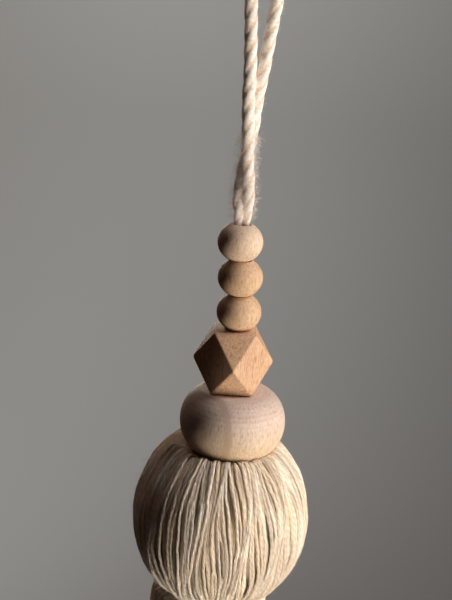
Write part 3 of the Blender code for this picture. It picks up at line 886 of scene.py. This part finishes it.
def skirt_core(finish, centre):
    outline, shift = [], []
    for height, radius, share in SKIRT_SHAPE[2:]:
        height = max(height, -0.112)
        outline.append((radius - 0.0042, height - 0.001))
        shift.append((SKIRT_SHIFT[0] * share, SKIRT_SHIFT[1] * share))
    return lathe_core("packed_yarn_in_skirt", outline, shift, centre, 72, finish)


def binding(finish, tree):
    """Turns of yarn wound round the neck; both ends are tucked in."""
    turns, radius, pitch, tucked_in, start = 3.0, 0.0140, 0.0014, 0.0012, 1.9
    steps = int(turns * 44)
    places = []
    for i in range(steps + 1):
        angle = 2 * pi * turns * i / steps + start
        tuck = 1 - smooth(min(i, steps - i) / 7)
        reach = radius - tucked_in * tuck
        places.append((reach * cos(angle), reach * sin(angle), pitch * (i / steps - 0.5) * (turns - 0.55)))
    places = np.array(places) + np.array(centre_of("neck_binding"))
    values = {
        "Thickness": BINDING_YARN,
        "Thick and thin": 0.08,
        "Thick to thin length": 0.01,
        "Sides": 10,
        "Seed": 3.0,
        "Finish": finish,
    }
    return grown("neck_wrap", path_mesh("binding yarn", [(places, 1.0)]), tree, values)


# Stage, light and camera


def aim(obj, place, target):
    obj.location = place
    obj.rotation_mode = "QUATERNION"
    obj.rotation_quaternion = (Vector(target) - Vector(place)).to_track_quat("-Z", "Y")


def soft_light(name, place, target, width, height, power, colour, spread=120):
    data = bpy.data.lights.new(name, "AREA")
    data.shape, data.size, data.size_y = "RECTANGLE", width, height
    data.energy, data.color, data.spread = power, colour, radians(spread)
    lamp = bpy.data.objects.new(name, data)
    bpy.context.scene.collection.objects.link(lamp)
    aim(lamp, place, target)
    lamp.visible_camera = False


def studio():
    """A pale floor that sweeps up into a plain wall all round."""
    paint = bpy.data.materials.new("pale studio paint")
    paint.use_nodes = True
    shader = paint.node_tree.nodes["Principled BSDF"]
    shader.inputs["Base Color"].default_value = (0.62, 0.62, 0.63, 1)
    shader.inputs["Roughness"].default_value = 0.95
    shader.inputs["Specular IOR Level"].default_value = 0.1
    floor, reach, cove, top = -1.1, 1.2, 0.9, 2.2
    outline = [(0.0, floor), (0.5, floor), (reach, floor)]
    for i in range(1, 17):
        angle = pi / 2 * i / 16
        outline.append((reach + cove * sin(angle), floor + cove * (1 - cos(angle))))
    outline.append((reach + cove, top))
    sides = 96
    points, faces = [(0.0, 0.0, floor)], []
    for radius, height in outline[1:]:
        for i in range(sides):
            angle = 2 * pi * i / sides
            points.append((radius * cos(angle), radius * sin(angle), height))
    for i in range(sides):
        faces.append((0, 1 + i, 1 + (i + 1) % sides))
        for ring in range(len(outline) - 2):
            a, b = 1 + ring * sides, 1 + (ring + 1) * sides
            faces.append((a + i, b + i, b + (i + 1) % sides, a + (i + 1) % sides))
    mesh = bpy.data.meshes.new("studio sweep")
    mesh.from_pydata(points, [], faces)
    mesh.shade_smooth()
    mesh.materials.append(paint)
    sweep = show("studio_sweep", mesh)
    sweep.visible_diffuse = False
    sweep.visible_glossy = False
    sweep.visible_shadow = False
    return sweep


def light_and_camera():
    bead = centre_of("round_bead_lower")
    world = bpy.data.worlds.new("dim studio air")
    world.use_nodes = True
    world.node_tree.nodes["Background"].inputs["Color"].default_value = (1.0, 0.64, 0.50, 1)
    world.node_tree.nodes["Background"].inputs["Strength"].default_value = 0.017
    bpy.context.scene.world = world

    def around(azimuth, elevation, distance):
        """A place seen from the lower round bead: azimuth from +X towards the front, in degrees."""
        a, e = radians(azimuth), radians(elevation)
        return bead + distance * Vector((cos(a) * cos(e), -sin(a) * cos(e), sin(e)))

    soft_light("window_low", around(38, -23, 1.2), bead, 0.48, 0.92, 7.7, (1.0, 0.87, 0.71))
    soft_light("window_high", around(9, 42, 1.2), bead, 0.6, 0.8, 4.75, (1.0, 0.91, 0.85))
    soft_light("back_light", around(-122, 38, 1.3), bead, 0.6, 0.6, 1.6, (1.0, 0.74, 0.59), 180)
    soft_light("rear_fill", around(-98, 4, 1.2), bead, 0.6, 0.6, 2.6, (1.0, 0.86, 0.76), 120)
    soft_light("room_light", (0.5, -0.7, 1.2), (1.2, -1.9, -0.2), 0.6, 0.6, 7.0, (0.97, 1.0, 0.97), 100)
    soft_light("wall_light", (-0.14, 0.8, 1.2), (-0.05, 2.0, 0.1), 0.6, 0.6, 3.9, (0.97, 1.0, 0.97), 100)
    soft_light("corner_light", (-0.5, 0.9, -0.9), (-0.3, 2.0, -1.0), 0.6, 0.6, 0.75, (0.95, 1.0, 0.97))
    view = bpy.context.scene.view_settings
    view.view_transform, view.look = "Standard", "None"

    camera = bpy.data.cameras.new("camera")
    camera.lens, camera.sensor_width, camera.sensor_height, camera.sensor_fit = 54.0, 36.0, 24.0, "AUTO"
    camera.clip_start, camera.clip_end = 0.01, 20.0
    # Where the facet bead's middle falls in the frame, the frame's middle, and the focal length, all in dots.
    target = Vector((0.0, 0.0, centre_of("facet_bead").z))
    across, down_to, middle_across, middle_down, focal = 233.906, 358.725, 226, 300, 900
    pitch, roll, distance = radians(14.96), radians(4.2), 0.324567
    forward = Vector((0, cos(pitch), -sin(pitch)))
    down = Vector((0, -sin(pitch), -cos(pitch)))
    right = Vector((1, 0, 0))
    x_axis = right * cos(roll) - down * sin(roll)
    y_axis = -(right * sin(roll) + down * cos(roll))
    place = target - x_axis * (across - middle_across) / focal * distance
    place = place + y_axis * (down_to - middle_down) / focal * distance - forward * distance
    obj = bpy.data.objects.new("camera", camera)
    bpy.context.scene.collection.objects.link(obj)
    turn = Matrix((x_axis, y_axis, -forward)).transposed().to_4x4()
    obj.matrix_world = Matrix.Translation(place) @ turn
    bpy.context.scene.camera = obj


def main():
    light_and_camera()
    studio()

    large = centre_of("large_bead")
    pale_wood = wood(
        "pale round bead wood", (0.90, 0.74, 0.61), (0.58, 0.42, 0.31), (0.021, 0.014, 0.0253, 0.006), 0.1
    )
    tan_wood = wood(
        "tan round bead wood", (0.82, 0.61, 0.43), (0.50, 0.32, 0.19), (-0.02, 0.02, 0.0283, 0.007), 0.1
    )
    facet_wood = wood(
        "facet bead wood",
        (0.80, 0.56, 0.385),
        (0.48, 0.28, 0.175),
        (-0.035, 0.03, 0.04, 0.008),
        0.1,
        contrast=1.15,
    )
    large_wood = wood(
        "large bead wood",
        (0.83, 0.70, 0.64),
        (0.60, 0.47, 0.40),
        (-0.025, -0.027, 0.02705, 0.05),
        1.1,
        # The lower tones: partly the bead's own warmer colour, partly painted shade on its lower part.
        lower=((0.82, 0.67, 0.51), (0.58, 0.43, 0.29), large.z + 0.004, large.z - 0.006),
        turning=(large.x, large.z + 0.001, 1.3),
        contrast=1.3,
    )
    # The rope's deep tone also paints the shade in its grooves.
    rope_tones = (1.0, 0.99, 1.0), (0.83, 0.685, 0.56)
    rope_cotton = cotton("rope cotton", *rope_tones, -ROPE_LAY, "shaped", 1.5, 0.0003, 0.7)
    yarn_tones = (0.97, 0.925, 0.86), (0.76, 0.645, 0.515)
    yarn_cotton = cotton("yarn cotton", *yarn_tones, YARN_LAY, "painted", 1.0, 0.00016, 0.9)
    # The yarn packed under the strands is the same cotton; its darker tones are painted shade deep inside.
    packed = cotton("packed yarn in painted shade", (0.86, 0.76, 0.62), (0.62, 0.50, 0.37), YARN_LAY, "none", 0.8, 0.0001, 0.0)

    def part(piece, node_name):
        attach(piece, "root")
        if node_name:
            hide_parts(node_name)

    for name, finish in zip(BEAD_NODES, (pale_wood, tan_wood, tan_wood)):
        part(round_bead("turned_" + name, name, finish), name)
    part(facet_bead("cut_facet_bead", facet_wood), "facet_bead")
    part(large_bead("turned_large_bead", large_wood), "large_bead")

    yarns, fuzz = yarn_tree(), fuzz_tree()
    loop, path = rope(rope_cotton)
    part(loop, "hanging_rope")
    above_beads = {"Above": FIRST_BEAD_TOP + 0.0005, "Finish": rope_cotton, "Lean": 0.8}
    for name, fibres, length, thickness, seed, below in (
        ("rope_fuzz", 950000.0, 0.0019, 0.00006, 5, 1.0),
        ("rope_long_fuzz", 2200000.0, 0.0036, 0.00008, 8, -0.080),
    ):
        inputs = {**fuzz_values(fibres, length, thickness, seed), **above_beads, "Below": below}
        part(grown(name, loop.data.copy(), fuzz, inputs), None)

    seat = centre_of("large_bead").z - LARGE_HALF_HEIGHT - HEAD_BELOW_BEADS
    centre = Vector((HEAD_OFFSET, 0.0, seat))
    head = yarn_head(yarn_cotton, yarns, np.array(centre))
    for piece in head:
        part(piece, "yarn_head_and_skirt")
    for name, fibres, length, thickness, seed in (
        ("head_fuzz", 175000.0, 0.0015, 0.00007, 3),
        ("head_long_fuzz", 120000.0, 0.0028, 0.00005, 4),
    ):
        inputs = {**fuzz_values(fibres, length, thickness, seed), "Finish": yarn_cotton}
        part(grown(name, head[0].data.copy(), fuzz, inputs), None)
    part(head_core(packed, centre), None)
    part(skirt(yarn_cotton, yarns, np.array(centre)), None)
    part(skirt_core(packed, centre), None)
    part(binding(yarn_cotton, yarns), "neck_binding")


main()
